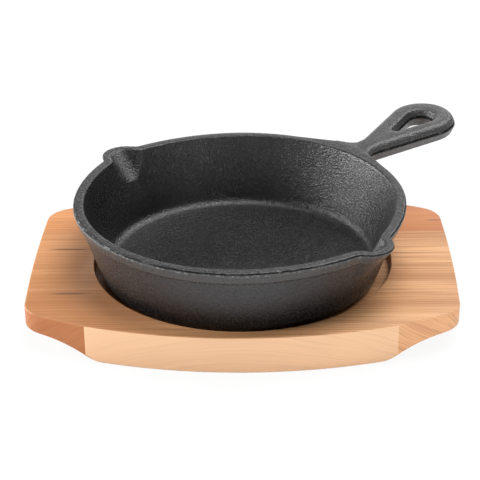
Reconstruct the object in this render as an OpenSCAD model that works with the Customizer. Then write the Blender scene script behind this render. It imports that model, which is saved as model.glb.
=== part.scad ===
// Cast-iron sizzle platter: a small skillet with two pour spouts, resting in a wooden serving board.
// Millimetres. The origin is the middle of the board's underside, X along the board, Z up.

/* [Pan] */
// Outside diameter of the rim
rim_d = 160; // [150:1:175]
// Height from the pan's underside to its rim
pan_h = 38.4; // [34:0.2:46]
// Width of the rim's flat top
rim_w = 5; // [4.6:0.1:6]
// Height of the thick band under the rim
band_h = 5.7; // [4.5:0.1:8]
// How far the band narrows from its top to its foot
band_taper = 1.5; // [0.5:0.1:2]
// Step from the band's foot in to the wall
band_step = 0.8; // [0.4:0.1:1.2]
// Height of the lip above the mould's parting step
lip_h = 1.3; // [0.9:0.1:2]
// Depth of the parting step under the lip
lip_step = 0.4; // [0.2:0.1:0.7]
// Easing of the rim's two edges
rim_ease = 0.5; // [0.2:0.1:0.8]
// Diameter of the underside, measured where the wall's line meets it
base_d = 133.4; // [124:0.2:140]
// Thickness of the wall just above the floor
wall_t = 4; // [3.4:0.1:5]
// Thickness of the floor
floor_t = 4.7; // [3.5:0.1:6]
// Rounding from the underside to the wall
foot_r = 6; // [3:0.5:8]
// Rounding from the cooking floor to the wall
floor_r = 5; // [3:0.5:8]

/* [Pour spouts] */
// Direction of the first spout, the second being opposite
spout_angle = -40.6; // [-60:0.1:-25]
// How far a spout reaches out past the rim
spout_reach = 10; // [6:0.1:12]
// Radius of a spout's nose
spout_nose_r = 11.5; // [10:0.1:14]
// Radius that blends the nose into the rim beside it
spout_blend_r = 4; // [2:0.5:12]
// How far the rim swells out towards the middle of a spout
spout_swell = 3.6; // [1:0.1:4.5]
// Angle to either side of a spout over which the rim swells
spout_swell_a = 40; // [25:1:42]
// Depth at which a spout has faded into the outer wall
spout_drop = 22; // [15:1:26]
// Width of the rim at a spout's nose
spout_lip_w = 4.3; // [3.6:0.1:5]
// Radius of the pouring groove inside a spout
groove_r = 7.3; // [6:0.1:9]
// Radius that blends the groove into the inner wall
groove_blend_r = 8; // [3:0.5:14]
// Depth at which the groove has run out
groove_drop = 15; // [11:0.5:18]

/* [Handle] */
// Direction of the handle
handle_angle = 43.3; // [30:0.1:60]
// Length of the handle from the rim to its tip
handle_l = 68.8; // [58:0.1:85]
// Radius of the handle's round end
handle_end_r = 17.6; // [15:0.2:20]
// Angle by which each side closes in towards the neck
handle_taper = 16.5; // [12:0.1:18]
// Radius that blends the neck into the web beside it
handle_root_r = 9; // [5:0.5:16]
// Angle from the handle at which the web on its back side leaves the rim
back_web_a = 28; // [20:1:34]
// Angle from the handle at which the web on its front side leaves the rim
front_web_a = 20; // [18:1:34]
// Height of the tip above the rim
handle_rise = 6.2; // [2:0.1:14]
// How far the top bows above a straight line at its middle
handle_bow = 1; // [0:0.1:2]
// Rounding of the handle's top edge
handle_edge_r = 3.2; // [1.5:0.1:4]
// Height of the flank between the rounding and the parting line
flank_h = 1.4; // [1:0.1:3]
// How far the parting line stands out past the flank
flank_out = 0.3; // [0:0.1:0.6]
// Height of the drafted side under the parting line
under_h = 4.6; // [3:0.1:6]
// How far that side draws in towards the underside
under_draft = 1.3; // [0.5:0.1:2]
// Rounding of the handle's lower edge
under_edge_r = 1.2; // [0.6:0.1:2]

/* [Hanging eye] */
// Radius of the eye's round end at the top face
eye_r = 7.8; // [6:0.1:10]
// Radius of the eye's narrow end at the top face
eye_tip_r = 2.5; // [2:0.1:4]
// Distance between the centres of the two ends
eye_l = 18.2; // [10:0.1:22]
// Iron between the eye and the handle's tip
eye_wall = 11.1; // [8:0.1:13]
// How far the eye draws in from either face to its throat
eye_draft = 1.4; // [0.4:0.1:1.8]
// Rounding of the eye's top edge
eye_edge_r = 0.8; // [0.4:0.1:1.2]

/* [Board] */
// Length of the board
board_l = 204.2; // [196:0.2:230]
// Depth of the board from front to back
board_d = 155.2; // [154:0.2:180]
// Thickness of the board
board_t = 18.2; // [16:0.1:24]
// Radius of the bowed front and back
side_r = 228; // [200:1:300]
// Radius of the slightly bowed ends
end_r = 1000; // [600:10:2000]
// Distance from the middle to the corner where a bowed side ends
corner_x = 71.3; // [60:0.1:76]
// Radius of the four outer corners
round_r = 14; // [8:0.5:18]
// Distance from the middle to the centre of an outer corner
round_y = 43.9; // [38:0.1:48]
// Depth of the recess that the pan stands in
recess_depth = 5.5; // [4:0.1:8]
// How far the recess lies behind the board's middle
recess_back = 1; // [0:0.1:2]
// Gap all round between the recess and a pan in its middle
recess_gap = 3.8; // [2:0.1:4.5]
// How far to the left the pan stands in that gap
pan_left = 1.2; // [0:0.1:1.6]

/* [Finger scoops] */
// Radius of the scoop under each end
scoop_r = 61; // [50:1:80]
// Height of the scoop at its deepest
scoop_h = 8.5; // [7:0.1:10]
// Distance from the middle to the scoop's deepest line
scoop_x = 98; // [92:0.5:104]
// Rounding from the underside into the scoop
scoop_blend_r = 12; // [4:0.5:20]

/* [Hidden] */
iron = [0.17, 0.17, 0.175];
wood = [0.82, 0.60, 0.38];
$fn = 180;

rim_r = rim_d / 2;
base_r = base_d / 2;
wall_h = pan_h - band_h;
wall_top_r = rim_r - band_taper - band_step;
floor_wall_r = base_r + (wall_top_r - base_r) * floor_t / wall_h - wall_t;
seat_z = board_t - recess_depth;
recess_r = wall_r(recess_depth) + recess_gap;
handle_end_x = handle_l - handle_end_r;
handle_t = handle_edge_r + flank_h + under_h;
eye_x = handle_l - eye_wall - eye_r;
// Depth by which a blended surface starts under the one that it grows from
sink = 0.2;

// Radius of the outer wall's line, of the outside with its band, and of the inner wall, at a height
function wall_r(z) = base_r + (wall_top_r - base_r) * z / wall_h;
function wall_at(z) = z < wall_h ? wall_r(z)
    : rim_r - max(lip_step, band_taper * (pan_h - lip_h - z) / (band_h - lip_h));
function inner_r(z) = floor_wall_r + (rim_r - rim_w - floor_wall_r) * (z - floor_t) / (pan_h - floor_t);
function arc(c, r, a, b, n) =
    [for (i = [0 : n]) let (at = a + (b - a) * i / n) c + r * [cos(at), sin(at)]];
function mirrored(half) = concat([for (i = [len(half) - 1 : -1 : 0]) [half[i].x, -half[i].y]], half);

// Closed solid through rings of points that run from one side of X to the other, the first ring the lowest
module skin(rings) {
    n = len(rings[0]);
    last = (len(rings) - 1) * n;
    polyhedron(
        points = [for (ring = rings) for (p = ring) p],
        faces = concat(
            [for (i = [0 : n / 2 - 2]) for (end = [[i, i + 1, n - 2 - i], [i, n - 2 - i, n - 1 - i]]) end],
            [for (i = [0 : n / 2 - 2]) for (end = [[n - 2 - i, i + 1, i], [n - 1 - i, n - 2 - i, i]])
                [last, last, last] + end],
            [for (k = [0 : len(rings) - 2]) for (i = [0 : n - 1]) let (j = (i + 1) % n)
                [k * n + i, (k + 1) * n + i, (k + 1) * n + j]],
            [for (k = [0 : len(rings) - 2]) for (i = [0 : n - 1]) let (j = (i + 1) % n)
                [k * n + i, (k + 1) * n + j, k * n + j]]
        )
    );
}

// Rounded corner between a level floor and a slanting wall, as points of radius and height from the floor up
function corner_arc(corner, top, r) =
    let (
        lean = atan2(top.x - corner.x, top.y - corner.y),
        centre = [corner.x - r / tan((90 + lean) / 2), corner.y + r]
    )
    arc(centre, r, -90, -lean, 5);

// Section of the casting as radius and height: the outside from the underside to the rim, and the inside
// from the floor to the rim
fade_z = pan_h - spout_drop;
outside = concat(
    corner_arc([base_r, 0], [wall_top_r, wall_h], foot_r),
    [for (i = [0 : 4]) let (z = fade_z + (wall_h - band_step - fade_z) * i / 4) [wall_r(z), z]],
    [
        [rim_r - band_taper, wall_h],
        [rim_r, pan_h - lip_h],
        [rim_r - lip_step, pan_h - lip_h],
        [rim_r - lip_step, pan_h - rim_ease],
        [rim_r - lip_step - rim_ease, pan_h]
    ]
);
inside = concat(
    corner_arc([floor_wall_r, floor_t], [rim_r - rim_w, pan_h], floor_r),
    [for (z = concat(
        [fade_z],
        [for (i = [0 : 8]) pan_h - rim_ease - (groove_drop - rim_ease) * (1 - pow(i / 8, 1.4))]
    )) [inner_r(z), z]],
    [[inner_r(pan_h) + rim_ease, pan_h]]
);

// Directions of a ring's points over a quarter turn, close together at the spout
quarter_turn = concat([for (i = [0.5 : 13.5]) 0.95 * i], [for (i = [1 : 20]) 13 + 77 * pow(i / 20.5, 1.4)]);

// Share of a spout that is left at a height, fading from the rim down
function left_at(z, drop) = max(0, 1 - (pan_h - z) / drop);
function swell_at(a, z) = spout_swell * left_at(z, spout_drop) * pow(max(0, 1 - a / spout_swell_a), 2);
function blend_a(nose_x, far, apart) =
    acos(min(1, (nose_x * nose_x + far * far - apart * apart) / (2 * nose_x * far)));

// Plan radius in direction a of a round wall with a spout: nose, then blend, then the swelling wall
function spout_r(a, wall, z, reach, nose, blend) =
    let (
        nose_x = wall + reach - nose,
        near_b = blend_a(nose_x, wall + swell_at(0, z) + blend, nose + blend),
        far = wall + swell_at(near_b, z) + blend,
        b = blend_a(nose_x, far, nose + blend),
        meet = ([nose_x, 0] * blend + far * [cos(b), sin(b)] * nose) / (nose + blend)
    )
    a > b ? wall + swell_at(a, z)
    : a > atan2(meet.y, meet.x) ? far * cos(b - a) - sqrt(blend * blend - pow(far * sin(b - a), 2))
    : nose_x * cos(a) + sqrt(nose * nose - pow(nose_x * sin(a), 2));

// Ring of points round the casting at one point of its section
function pan_ring(p, reach, nose, blend) =
    let (
        quarter = [for (a = quarter_turn) spout_r(a, p.x, p.y, reach, nose, blend) * [cos(a), sin(a)]],
        half = concat(quarter, [for (i = [len(quarter) - 1 : -1 : 0]) [-quarter[i].x, quarter[i].y]])
    )
    [for (q = mirrored(half)) [q.x, q.y, p.y]];

module pan() {
    rotate([0, 0, spout_angle]) skin(concat(
        [for (p = outside) pan_ring(p, spout_reach * left_at(p.y, spout_drop), spout_nose_r, spout_blend_r)],
        [for (i = [len(inside) - 1 : -1 : 0]) let (
            p = inside[i],
            ease = i == len(inside) - 1 ? rim_ease : 0,
            reach = (spout_reach + rim_w - spout_lip_w) * left_at(p.y, groove_drop)
        ) pan_ring(p, reach, groove_r + ease, groove_blend_r - ease)]
    ));
}

// Height of the handle's top above the rim, at a distance from the rim
function handle_top(x) = x <= 0 ? -sink : -sink + handle_rise * x / handle_l
    + 4 * handle_bow * x / handle_l * (1 - x / handle_l);

// Half of the handle's plan outline drawn in by an inset: round end, straight side, root, and the web, which
// runs off the wall in line with its surface at that height
function handle_half(inset, z, web_a) =
    let (
        side = [-sin(handle_taper), cos(handle_taper)],
        web = [cos(web_a), sin(web_a)],
        side_d = side.x * (handle_end_x + rim_r) + handle_end_r - inset + handle_root_r,
        web_d = wall_at(pan_h + z) - sink + handle_root_r,
        pivot = [side_d * web.y - web_d * side.y, web_d * side.x - side_d * web.x]
            / (side.x * web.y - side.y * web.x)
    )
    concat(
        [for (i = [0.5 : 12]) [handle_end_x, 0] + (handle_end_r - inset)
            * [cos((90 + handle_taper) * i / 11.5), sin((90 + handle_taper) * i / 11.5)]],
        arc(pivot - [rim_r, 0], handle_root_r, 270 + handle_taper, 180 + web_a, 6),
        [(wall_at(pan_h + z) - sink) * web - [rim_r, 0]]
    );

function handle_ring(inset, z) =
    let (front = handle_half(inset, z, front_web_a))
    [for (p = concat([for (i = [len(front) - 1 : -1 : 0]) [front[i].x, -front[i].y]],
        handle_half(inset, z, back_web_a))) [p.x, p.y, handle_top(p.x) + z]];

module handle() {
    skin(concat(
        [for (a = [0, 45, 90]) handle_ring(
            under_draft + under_edge_r * (1 - sin(a)), under_edge_r * (1 - cos(a)) - handle_t)],
        [handle_ring(0, -handle_edge_r - flank_h)],
        [for (a = [90 : -22.5 : 0]) handle_ring(
            flank_out + handle_edge_r * (1 - sin(a)), -handle_edge_r * (1 - cos(a)))]
    ));
}

// Plan outline of the teardrop eye drawn in by an inset
function eye_ring(inset, z) =
    let (
        side = 90 + asin((eye_r - eye_tip_r) / eye_l),
        half = concat(
            [for (i = [0.5 : 9]) [eye_x, 0] + (eye_r - inset) * [cos(side * i / 8.5), sin(side * i / 8.5)]],
            [for (i = [0 : 4]) let (a = side + (180 - side) * i / 4.5)
                [eye_x - eye_l, 0] + (eye_tip_r - inset) * [cos(a), sin(a)]]
        )
    )
    [for (p = mirrored(half)) [p.x, p.y, handle_top(p.x) + z]];

module eye() {
    skin(concat(
        [eye_ring(0, -handle_t - 1)],
        [eye_ring(eye_draft, -handle_t / 2)],
        [for (a = [90 : -30 : 0]) eye_ring(
            -eye_edge_r * (1 - sin(a)), -eye_edge_r * (1 - cos(a)) + (a == 0 ? 1 : 0))]
    ));
}

module at_handle() {
    rotate([0, 0, handle_angle]) translate([rim_r, 0, pan_h]) children();
}

// The handle starts in the middle of the wall, so it is cut back there before it joins the pan
module skillet() {
    color(iron) translate([-pan_left, recess_back, seat_z]) {
        pan();
        difference() {
            at_handle() handle();
            at_handle() eye();
            translate([0, 0, floor_t])
                cylinder(
                    r1 = floor_wall_r + wall_t / 2, r2 = rim_r - rim_w + wall_t / 2, h = pan_h - floor_t);
        }
    }
}

// A quarter of the board's outline: bowed side, straight run from its corner, rounded corner, bowed end
side_y = board_d / 2 - side_r;
side_a = acos(corner_x / side_r);
corner = [corner_x, side_y + side_r * sin(side_a)];
end_x = board_l / 2 - end_r;
round_c = [end_x + sqrt(pow(end_r - round_r, 2) - pow(round_y, 2)), round_y];
run_a = 90 + atan2(round_c.y - corner.y, round_c.x - corner.x) + asin(round_r / norm(round_c - corner));
end_a = asin(round_y / (end_r - round_r));
quarter = concat(
    [for (i = [0 : 3]) [end_x, 0] + end_r * [cos(end_a * (i + 0.5) / 4), sin(end_a * (i + 0.5) / 4)]],
    arc(round_c, round_r, end_a, run_a, 10),
    [for (i = [0 : 11]) let (a = side_a + (90 - side_a) * i / 11.5) [0, side_y] + side_r * [cos(a), sin(a)]]
);

module board_outline() {
    half = mirrored(quarter);
    polygon(concat(half, [for (i = [len(half) - 1 : -1 : 0]) [-half[i].x, half[i].y]]));
}

// Section of a scoop, from its rounded start under the board to its deepest line and out past the end
scoop_c = [scoop_x, scoop_h - scoop_r];
blend_c = [
    scoop_x - sqrt(pow(scoop_r + scoop_blend_r, 2) - pow(scoop_blend_r - scoop_c.y, 2)),
    scoop_blend_r
];
meet_a = atan2(blend_c.y - scoop_c.y, blend_c.x - scoop_c.x);

module scoop() {
    rotate([90, 0, 0]) linear_extrude(2 * board_d, center = true) polygon(concat(
        [[blend_c.x, -scoop_r]],
        arc(blend_c, scoop_blend_r, 270, 180 + meet_a, 5),
        [for (i = [1 : 14]) let (a = meet_a + (180 - 2 * meet_a) * i / 14)
            scoop_c + scoop_r * [cos(a), sin(a)]],
        [[scoop_x + scoop_r, -scoop_r]]
    ));
}

module board() {
    color(wood) difference() {
        linear_extrude(board_t) board_outline();
        translate([0, recess_back, seat_z]) cylinder(r = recess_r, h = board_t);
        for (x = [0, 1]) mirror([x, 0]) scoop();
    }
}

skillet();
board();
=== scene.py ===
import math

import bmesh
import bpy
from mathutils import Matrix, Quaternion, Vector


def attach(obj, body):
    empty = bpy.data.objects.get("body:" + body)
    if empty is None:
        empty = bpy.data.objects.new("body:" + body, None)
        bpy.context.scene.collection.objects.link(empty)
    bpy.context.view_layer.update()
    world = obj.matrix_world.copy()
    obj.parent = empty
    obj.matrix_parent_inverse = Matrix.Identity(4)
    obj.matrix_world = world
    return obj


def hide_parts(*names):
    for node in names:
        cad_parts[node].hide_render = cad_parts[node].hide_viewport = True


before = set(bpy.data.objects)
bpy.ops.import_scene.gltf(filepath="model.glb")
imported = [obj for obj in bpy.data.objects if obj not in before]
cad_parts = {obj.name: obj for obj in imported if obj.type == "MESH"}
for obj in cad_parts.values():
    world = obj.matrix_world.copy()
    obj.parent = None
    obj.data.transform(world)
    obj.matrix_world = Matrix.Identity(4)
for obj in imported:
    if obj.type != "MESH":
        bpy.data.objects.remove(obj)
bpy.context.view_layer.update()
scene = bpy.context.scene


# The skillet: one sand casting of grey iron, with its two pour spouts and its eyed handle, blasted clean
# and baked with a thin black coat. It only rests in the board's recess, so it rides on the one body.
PAN_CENTRE = Vector((-0.0012, 0.001, 0.0))
RIM_R = 0.08
RIM_TOP = 0.0511
BAND_FOOT = RIM_TOP - 0.0062  # underside of the thicker band round the rim

HANDLE_ANGLE = math.radians(43.3)
HANDLE_WAY = Vector((math.cos(HANDLE_ANGLE), math.sin(HANDLE_ANGLE), 0.0))
HANDLE_L = 0.0688  # from the rim to its end
HANDLE_RISE = 0.0062  # of its top over that length
HANDLE_BOW = 0.004  # four times how far its top bows above a straight line
HANDLE_TAPER = math.radians(16.5)  # of each side
HANDLE_END = 0.0512  # centre of its round end, from the rim
HANDLE_END_R = 0.0176

EYE_END = 0.0499  # centre of the eye's wide end, from the rim
EYE_R = 0.0078
EYE_L = 0.0182  # from there to the centre of its tip
EYE_TIP_R = 0.0025


def copy_of(node, name, flat=None):
    """A copy of a CAD node to dress, with its doubled corners joined, and with the faces that lie within the angle
    flat of each other joined too."""
    piece = bpy.data.objects.new(name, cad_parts[node].data.copy())
    scene.collection.objects.link(piece)
    piece.data.materials.clear()
    mesh = bmesh.new()
    mesh.from_mesh(piece.data)
    bmesh.ops.remove_doubles(mesh, verts=mesh.verts, dist=1e-6)
    if flat:
        bmesh.ops.dissolve_limit(mesh, angle_limit=flat, verts=mesh.verts, edges=mesh.edges)
    mesh.to_mesh(piece.data)
    mesh.free()
    return piece


def apply_modifiers(piece):
    """Makes the shape that a piece's modifiers give its own mesh."""
    bpy.context.view_layer.update()
    shaped = piece.evaluated_get(bpy.context.evaluated_depsgraph_get())
    made = bpy.data.meshes.new_from_object(shaped)
    piece.modifiers.clear()
    piece.data = made


def share_of(value):
    """A value held between none and all."""
    return min(1.0, max(0.0, value))


def handle_crown(point):
    """How far a point of the handle lies below where a flat top would put it: the top rolls off towards its sides,
    more at the front than at the back, and a little towards the eye. It fades out at the root and underneath."""
    flat = point - PAN_CENTRE
    out = flat.dot(HANDLE_WAY) - RIM_R
    root_end, underside = 0.002, 0.0455
    if out < root_end or point.z < underside:
        return 0.0
    share = out / HANDLE_L
    top = RIM_TOP + HANDLE_RISE * share + HANDLE_BOW * share * (1 - share)
    to_front = flat.x * HANDLE_WAY.y - flat.y * HANDLE_WAY.x
    side = abs(to_front)
    # How far it lies in from the outline: from the round end, or from the straight side
    past = out - HANDLE_END
    if past * math.cos(HANDLE_TAPER) + side * math.sin(HANDLE_TAPER) > 0:
        inside = HANDLE_END_R - math.hypot(past, side)
    else:
        inside = HANDLE_END_R + past * math.sin(HANDLE_TAPER) - side * math.cos(HANDLE_TAPER)
    # How far it lies from the eye, a teardrop between two circles
    along = share_of((EYE_END - out) / EYE_L)
    eye = math.hypot(out - EYE_END + along * EYE_L, side) - EYE_R + along * (EYE_R - EYE_TIP_R)
    front = share_of(0.5 + to_front / 0.012)
    shoulder_wide = 0.003 + 0.003 * front
    shoulder_deep = 0.001 + 0.0017 * front
    eye_wide, eye_deep = 0.004, 0.0007
    drop = shoulder_deep * (1 - math.sqrt(1 - share_of(1 - max(inside, 0.0) / shoulder_wide) ** 2))
    drop += eye_deep * share_of(1 - max(eye, 0.0) / eye_wide) ** 2
    above_underside = share_of((point.z - top + 0.006) / 0.004)
    past_root = share_of((out - root_end) / 0.012)
    return drop * above_underside * past_root


FACE_SIZE = 0.0005
MOST_TRIANGLES = 195000

skillet = copy_of("skillet", "skillet_casting")
remesh = skillet.modifiers.new("even_faces", "REMESH")
remesh.mode = "VOXEL"
remesh.voxel_size = FACE_SIZE
apply_modifiers(skillet)
for vertex in skillet.data.vertices:
    vertex.co.z -= handle_crown(vertex.co)
ease = skillet.modifiers.new("eased_edges", "SMOOTH")
ease.factor = 0.5
ease.iterations = 2
fewer = skillet.modifiers.new("fewer_faces", "DECIMATE")
fewer.ratio = min(1.0, MOST_TRIANGLES / (2 * len(skillet.data.polygons)))
apply_modifiers(skillet)
skillet.data.shade_smooth()


def bare_tree(holder):
    """The node tree of a new material or world, emptied."""
    holder.use_nodes = True
    holder.node_tree.nodes.clear()
    return holder.node_tree


def feed(tree, socket, value):
    """Links a socket to an input, or sets the input to a number, a vector or a colour."""
    if isinstance(value, bpy.types.NodeSocket):
        tree.links.new(value, socket)
    elif socket.type == "RGBA":
        socket.default_value = (*value, 1.0)
    else:
        socket.default_value = value


def add(tree, kind, **settings):
    """A new shader node with its settings, or with the values and links of the inputs named."""
    node = tree.nodes.new(kind)
    for key, value in settings.items():
        socket = next((s for s in node.inputs if s.name == key.replace("_", " ") and s.enabled), None)
        if socket is None:
            setattr(node, key, value)
        else:
            feed(tree, socket, value)
    return node


def math_node(tree, operation, first, second=0.0):
    """The output of a Math node on two values or sockets."""
    node = add(tree, "ShaderNodeMath", operation=operation)
    feed(tree, node.inputs[0], first)
    feed(tree, node.inputs[1], second)
    return node.outputs[0]


def plus(tree, first, second):
    return math_node(tree, "ADD", first, second)


def minus(tree, first, second):
    return math_node(tree, "SUBTRACT", first, second)


def times(tree, *factors):
    product = factors[0]
    for factor in factors[1:]:
        product = math_node(tree, "MULTIPLY", product, factor)
    return product


def distance(tree, first, second):
    """How far apart two values are."""
    return math_node(tree, "ABSOLUTE", minus(tree, first, second))


def vector_math(tree, operation, first, second, output="Vector"):
    """An output of a Vector Math node on two vectors or sockets."""
    node = add(tree, "ShaderNodeVectorMath", operation=operation)
    feed(tree, node.inputs[0], first)
    feed(tree, node.inputs[1], second)
    return node.outputs[output]


def split(tree, vector):
    """The X, Y and Z outputs of a vector."""
    return add(tree, "ShaderNodeSeparateXYZ", Vector=vector).outputs


def vector_of(tree, x, y, z):
    """The output of a Combine XYZ node, with values or sockets."""
    return add(tree, "ShaderNodeCombineXYZ", X=x, Y=y, Z=z).outputs["Vector"]


def noise(tree, place, scale, detail, roughness=0.5):
    """The grey value of a Noise Texture node, with its scale in cells per metre."""
    texture = add(tree, "ShaderNodeTexNoise", Vector=place, Scale=scale, Detail=detail, Roughness=roughness)
    return texture.outputs["Fac"]


def ramp(tree, value, low, high, start=0.0, end=1.0):
    """The output of a Map Range node that eases a value from start to end between low and high."""
    node = tree.nodes.new("ShaderNodeMapRange")
    node.interpolation_type = "SMOOTHSTEP"
    for name, setting in (
        ("Value", value),
        ("From Min", low),
        ("From Max", high),
        ("To Min", start),
        ("To Max", end),
    ):
        feed(tree, node.inputs[name], setting)
    return node.outputs["Result"]


def mix_colour(tree, share, first, second):
    """The output of a colour Mix node, with colours or sockets."""
    node = add(tree, "ShaderNodeMix", data_type="RGBA")
    for socket, value in zip((node.inputs[0], node.inputs[6], node.inputs[7]), (share, first, second)):
        feed(tree, socket, value)
    return node.outputs[2]


def finish_tree(tree, shader, output="ShaderNodeOutputMaterial"):
    """Ends a tree in its output node."""
    tree.links.new(shader.outputs[0], add(tree, output).inputs["Surface"])


iron = bpy.data.materials.new("black_cast_iron")
tree = bare_tree(iron)
place = add(tree, "ShaderNodeTexCoord").outputs["Object"]
height = split(tree, place)["Z"]
normal = add(tree, "ShaderNodeNewGeometry").outputs["Normal"]

# The sand of the mould: fine grains on a coarser unevenness, in patches that took deeper
grains = noise(tree, place, 1300.0, 2.0)
coarse = noise(tree, place, 480.0, 2.0)
patches = noise(tree, place, 110.0, 3.0, 0.6)
sand = plus(tree, times(tree, grains, 0.8), times(tree, coarse, 0.2))
# The flat top of the rim was rubbed smoother than the rest when it was fettled
top_face = ramp(tree, split(tree, normal)["Z"], 0.93, 0.99)
rubbed = times(tree, top_face, ramp(tree, height, RIM_TOP - 0.0012, RIM_TOP - 0.0004))
depth = times(tree, ramp(tree, patches, 0.3, 0.7, 0.85, 1.15), minus(tree, 1.0, times(tree, rubbed, 0.3)))
bump = add(tree, "ShaderNodeBump", Height=times(tree, sand, depth), Strength=1.0, Distance=0.0005)

# How far each point lies below the rim's top, or below the handle's, which climbs towards its end
from_centre = vector_math(tree, "SUBTRACT", place, PAN_CENTRE)
along = vector_math(tree, "DOT_PRODUCT", from_centre, HANDLE_WAY, "Value")
on_handle = ramp(tree, along, RIM_R - 0.003, RIM_R + 0.006)
out = math_node(tree, "MAXIMUM", minus(tree, along, RIM_R), 0.0)
uneven = noise(tree, place, 260.0, 3.0, 0.6)
below = minus(tree, plus(tree, times(tree, out, HANDLE_RISE / HANDLE_L), RIM_TOP), height)
below = plus(tree, below, times(tree, minus(tree, uneven, 0.5), 0.0007))

# The faces that look outwards from the pan's middle, and not in towards the food
apart = split(tree, from_centre)
radial = vector_math(tree, "NORMALIZE", vector_of(tree, apart["X"], apart["Y"], 0.0), (0.0, 0.0, 0.0))
outward = ramp(tree, vector_math(tree, "DOT_PRODUCT", radial, normal, "Value"), 0.15, 0.35)
outside = times(tree, outward, minus(tree, 1.0, on_handle))
# The band round the rim, where a painted sheen lightens the coat
painted_band_sheen = times(tree, ramp(tree, height, BAND_FOOT, BAND_FOOT + 0.0008), outside, minus(tree, 1.0, top_face))

# The burr on the parting step, under the lip and along the handle's sides: a painted shadow, a black line over
# bright specks
step = plus(tree, times(tree, on_handle, 0.0031), 0.0005)
half_shadow_width = plus(tree, times(tree, on_handle, 0.0003), 0.0003)
handle_side = times(tree, on_handle, ramp(tree, top_face, 0.0, 0.3, 1.0, 0.0))
# Where the painted shadow of the step lies, as a ragged black line
painted_step_shadow = ramp(tree, minus(tree, distance(tree, below, step), half_shadow_width), -0.00012, 0.00016, 1.0, 0.0)
painted_step_shadow = times(tree, painted_step_shadow, math_node(tree, "MAXIMUM", outside, handle_side))
painted_step_shadow = times(tree, painted_step_shadow, ramp(tree, uneven, 0.34, 0.46, 0.45, 1.0))
specks = ramp(tree, noise(tree, place, 800.0, 2.0, 0.6), 0.52, 0.62)
flash = ramp(tree, distance(tree, below, plus(tree, step, 0.0008)), 0.0003, 0.0007, 1.0, 0.0)
# Under the step on the handle's sides, where a painted reflection of the table lightens the coat
painted_step_reflection = times(tree, on_handle, ramp(tree, below, 0.0036, 0.0042))

colour = mix_colour(tree, ramp(tree, noise(tree, place, 42.0, 3.0), 0.35, 0.7),
                    (0.0085, 0.0085, 0.0087), (0.0108, 0.0104, 0.0100))
for share, tint in (
    # The coat is darker between the grains, and rubbed lighter on their tops
    (ramp(tree, grains, 0.38, 0.64, 0.6, 0.0), (0.002, 0.002, 0.002)),
    (ramp(tree, grains, 0.5, 0.66, 0.0, 0.5), (0.034, 0.034, 0.034)),
    # Painted sheen: the coat is greyer outside, above the foot, and more so on the handle and the band; paler
    # still under the handle's step, a painted reflection of the table
    (times(tree, outside, ramp(tree, height, 0.019, 0.036, 0.0, 0.6)), (0.038, 0.039, 0.042)),
    (times(tree, on_handle, 0.7), (0.050, 0.0495, 0.049)),
    (times(tree, painted_step_reflection, 0.7), (0.10, 0.10, 0.10)),
    (times(tree, painted_band_sheen, 0.85), (0.046, 0.0455, 0.045)),
    (times(tree, flash, specks, outside, 0.5), (0.22, 0.22, 0.22)),
):
    colour = mix_colour(tree, share, colour, tint)
coat = add(
    tree,
    "ShaderNodeBsdfPrincipled",
    Base_Color=colour,
    Roughness=ramp(tree, sand, 0.35, 0.7, 0.36, 0.22),
    Specular_IOR_Level=0.5,
    Normal=bump.outputs["Normal"],
)
# A black diffuse mixed over the coat along the step: painted shadow
painted_shadow_black = add(tree, "ShaderNodeBsdfDiffuse", Color=(0.003, 0.003, 0.003))
coat_and_painted_shadow = tree.nodes.new("ShaderNodeMixShader")
for socket, value in zip(coat_and_painted_shadow.inputs, (times(tree, painted_step_shadow, 0.85), coat.outputs[0], painted_shadow_black.outputs[0])):
    tree.links.new(value, socket)
finish_tree(tree, coat_and_painted_shadow)
skillet.data.materials.append(iron)
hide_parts("skillet")
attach(skillet, "root")


# The board: one panel of pale hardwood, sawn to its outline, with the recess and the finger scoops cut
# by a router, its edges eased with sandpaper and its faces oiled. A glue line runs along it near the back.
GLUE_LINE = 0.0295  # its place in Y

board = copy_of("board", "serving_board", math.radians(0.5))
board.data.shade_smooth()
sanded = board.modifiers.new("sanded_edges", "BEVEL")
sanded.width = 0.0007
sanded.segments = 3
sanded.limit_method = "ANGLE"
sanded.angle_limit = math.radians(20)
sanded.harden_normals = True
apply_modifiers(board)


def near(tree, value, centre, reach, soft=0.5):
    """A mask that is one at the centre and fades to nothing at its reach to either side."""
    return ramp(tree, distance(tree, value, centre), reach * soft, reach, 1.0, 0.0)


wood = bpy.data.materials.new("oiled_hardwood")
tree = bare_tree(wood)
place = add(tree, "ShaderNodeTexCoord").outputs["Object"]
spot = split(tree, place)
facing = split(tree, add(tree, "ShaderNodeNewGeometry").outputs["True Normal"])

# The growth rings lie tilted across the board and sway a little along it; the narrow stave has its own
drift = add(tree, "ShaderNodeMapping", vector_type="POINT", Vector=place, Scale=(7.0, 34.0, 34.0))
sway = noise(tree, drift.outputs["Vector"], 1.0, 3.0)
behind = ramp(tree, spot["Y"], GLUE_LINE - 0.0001, GLUE_LINE + 0.0002)
across = plus(tree, times(tree, spot["Y"], 0.87), times(tree, spot["Z"], 0.5))
across = plus(tree, across, times(tree, sway, 0.005))
across = plus(tree, across, times(tree, behind, 0.0137))
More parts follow.
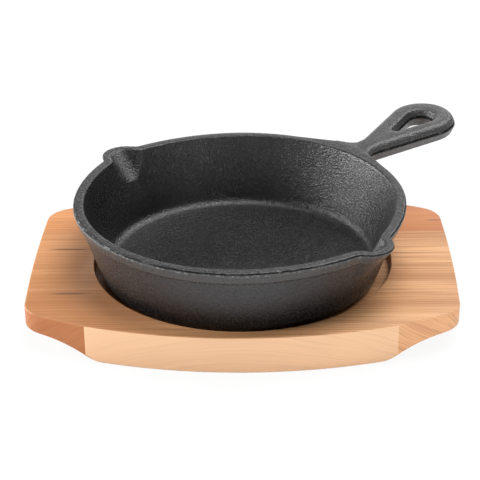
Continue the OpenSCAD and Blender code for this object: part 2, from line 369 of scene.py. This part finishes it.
# Cells per metre along the grain and across it, and detail
lines = {}
for grain, (lengthwise, crosswise, detail) in {
    "zone": (2.5, 70.0, 2.0),
    "ring": (6.0, 760.0, 3.0),
    "fibre": (18.0, 2100.0, 2.0),
}.items():
    stretched = vector_of(
        tree,
        times(tree, spot["X"], lengthwise),
        times(tree, across, crosswise),
        times(tree, spot["Z"], 40.0),
    )
    lines[grain] = noise(tree, stretched, 1.0, detail, 0.55)
# Where painted shade darkens the board's front left corner
painted_corner_shade = times(tree, ramp(tree, spot["X"], -0.03, -0.07), ramp(tree, spot["Y"], -0.02, -0.05))
redder = times(tree, behind, ramp(tree, spot["X"], -0.05, 0.06, 0.3, 1.0))
tints = [
    # Dark and light rings, and the dark pores between the fibres
    (ramp(tree, lines["ring"], 0.5, 0.66, 0.0, 0.34), (0.37, 0.155, 0.056)),
    (ramp(tree, lines["ring"], 0.48, 0.33, 0.0, 0.45), (0.76, 0.44, 0.235)),
    (ramp(tree, lines["fibre"], 0.5, 0.6, 0.0, 0.65), (0.33, 0.135, 0.048)),
    # Painted shade: the board is darker towards its left, most at its front corner
    (ramp(tree, spot["X"], 0.03, -0.09, 0.0, 0.5), (0.36, 0.145, 0.05)),
    (times(tree, painted_corner_shade, 0.4), (0.33, 0.12, 0.035)),
    # Behind the glue line the stave is redder, darkest beside the line
    (times(tree, redder, 0.85), (0.45, 0.155, 0.045)),
    (times(tree, redder, near(tree, spot["Y"], GLUE_LINE, 0.0042, 0.75), 0.45), (0.36, 0.115, 0.037)),
]
# Short dark streaks and a small split, then paler brown stains, as the board grew them:
# middle X, half length, middle Y, half width, how strong
DARK_STREAK = (0.17, 0.068, 0.03)
BROWN_STAIN = (0.42, 0.185, 0.07)
top = ramp(tree, spot["Z"], 0.0155, 0.017)
waver = plus(tree, spot["Y"], times(tree, sway, 0.003))
for middle_x, half_x, middle_y, half_y, strong, tint in (
    (-0.0855, 0.0125, 0.0111, 0.0015, 0.95, DARK_STREAK),
    (-0.081, 0.0110, -0.0342, 0.0013, 1.0, DARK_STREAK),
    (0.0980, 0.0060, 0.0435, 0.0009, 1.0, DARK_STREAK),
    (0.088, 0.03, -0.0415, 0.0045, 0.3, BROWN_STAIN),
    (-0.085, 0.045, -0.0005, 0.009, 0.3, BROWN_STAIN),
    (-0.075, 0.045, -0.0565, 0.004, 0.3, BROWN_STAIN),
):
    in_length = near(tree, spot["X"], middle_x, half_x, 0.3)
    in_width = near(tree, waver, middle_y, half_y, 0.1)
    tints.append((times(tree, in_length, in_width, top, strong), tint))
# Sawn sides: pale along the grain; across it, at the ends, painted shade darkens the left end and painted light
# makes the right end paler
upright = ramp(tree, math_node(tree, "ABSOLUTE", facing["Z"]), 0.35, 0.7, 1.0, 0.0)
cut_across = times(tree, upright, ramp(tree, math_node(tree, "ABSOLUTE", facing["X"]), 0.36, 0.4))
tints += [
    (times(tree, minus(tree, upright, cut_across), 0.66), (0.86, 0.565, 0.35)),
    (times(tree, cut_across, ramp(tree, spot["X"], 0.07, -0.07, 0.0, 0.55)), (0.34, 0.088, 0.016)),
    (times(tree, cut_across, ramp(tree, spot["X"], -0.07, 0.07, 0.0, 0.35)), (0.82, 0.43, 0.22)),
]
colour = mix_colour(tree, ramp(tree, lines["zone"], 0.35, 0.65), (0.46, 0.215, 0.088), (0.64, 0.338, 0.16))
for share, tint in tints:
    colour = mix_colour(tree, share, colour, tint)
surface = add(
    tree,
    "ShaderNodeBsdfPrincipled",
    Base_Color=colour,
    Roughness=ramp(tree, lines["fibre"], 0.35, 0.65, 0.46, 0.6),
    Specular_IOR_Level=0.4,
    Normal=add(tree, "ShaderNodeBump", Height=lines["fibre"], Strength=0.25, Distance=0.0002).outputs["Normal"],
)
finish_tree(tree, surface)
board.data.materials.append(wood)
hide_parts("board")
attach(board, "root")


# The studio: a wide white table that keeps the object's soft shadow, in a dim room with softboxes as in the
# photograph: a large one low at the left, one overhead, and smaller ones round about.
table = bpy.data.objects.new("studio_table", bpy.data.meshes.new("studio_table"))
scene.collection.objects.link(table)
sheet = bmesh.new()
bmesh.ops.create_grid(sheet, x_segments=1, y_segments=1, size=15.0)
sheet.to_mesh(table.data)
sheet.free()
white = bpy.data.materials.new("white_table")
tree = bare_tree(white)
rays = add(tree, "ShaderNodeLightPath").outputs
seen = math_node(tree, "MAXIMUM", rays["Is Camera Ray"], rays["Is Glossy Ray"])
seen = math_node(tree, "MAXIMUM", seen, rays["Is Transmission Ray"])
matt = add(tree, "ShaderNodeBsdfDiffuse", Color=(0.88, 0.88, 0.88))
glow = add(tree, "ShaderNodeEmission", Color=(1.0, 1.0, 1.0), Strength=1.0)
blend = tree.nodes.new("ShaderNodeMixShader")
for socket, value in zip(blend.inputs, (times(tree, seen, 0.92), matt.outputs[0], glow.outputs[0])):
    tree.links.new(value, socket)
finish_tree(tree, blend)
table.data.materials.append(white)

world = bpy.data.worlds.new("dim_studio")
scene.world = world
tree = bare_tree(world)
even = add(tree, "ShaderNodeBackground", Color=(1.0, 1.0, 1.0), Strength=0.1)
finish_tree(tree, even, "ShaderNodeOutputWorld")

# Direction round from the right, height in degrees, distance, width and height in metres, power in watts
middle = Vector((0.0, 0.0, 0.03))
for name, (azimuth, elevation, far, wide, tall, power) in {
    "left_softbox": (175, 20, 1.25, 0.75, 0.40, 18.4),
    "left_back_softbox": (148, 10, 1.25, 0.40, 0.50, 8.4),
    "overhead_softbox": (35, 75, 1.10, 0.75, 0.75, 12.5),
    "right_back_softbox": (42, 40, 1.25, 0.60, 0.50, 6.6),
    "right_front_softbox": (302, 8, 1.30, 0.55, 0.40, 5.5),
    "left_front_softbox": (240, 8, 1.30, 0.55, 0.40, 3.9),
    "back_softbox": (85, 13, 1.30, 1.00, 0.50, 2.4),
}.items():
    a, e = math.radians(azimuth), math.radians(elevation)
    stand = middle + far * Vector((math.cos(e) * math.cos(a), math.cos(e) * math.sin(a), math.sin(e)))
    lamp = bpy.data.lights.new(name, "AREA")
    lamp.shape = "RECTANGLE"
    lamp.size = wide
    lamp.size_y = tall
    lamp.energy = power
    holder = bpy.data.objects.new(name, lamp)
    holder.location = stand
    holder.rotation_euler = (middle - stand).to_track_quat("-Z", "Y").to_euler()
    holder.visible_camera = False
    scene.collection.objects.link(holder)

# The camera: the photograph's viewing angle, found by fitting the rim, the recess and the board's outline
eye = Vector((0.0107622, -0.6840508, 0.3725231))
aim = Vector((-0.0012000, 0.0060500, 0.0250000))
roll = Quaternion((0, 0, 1), math.radians(-0.678))
lens = bpy.data.cameras.new("photo_camera")
lens.sensor_width = 36.0
lens.lens = 118.07
lens.shift_x = -0.0006
lens.shift_y = 0.0003
camera = bpy.data.objects.new("photo_camera", lens)
camera.rotation_mode = "QUATERNION"
camera.location = eye
camera.rotation_quaternion = (aim - eye).to_track_quat("-Z", "Y") @ roll
scene.collection.objects.link(camera)
scene.camera = camera
scene.view_settings.view_transform = "Standard"
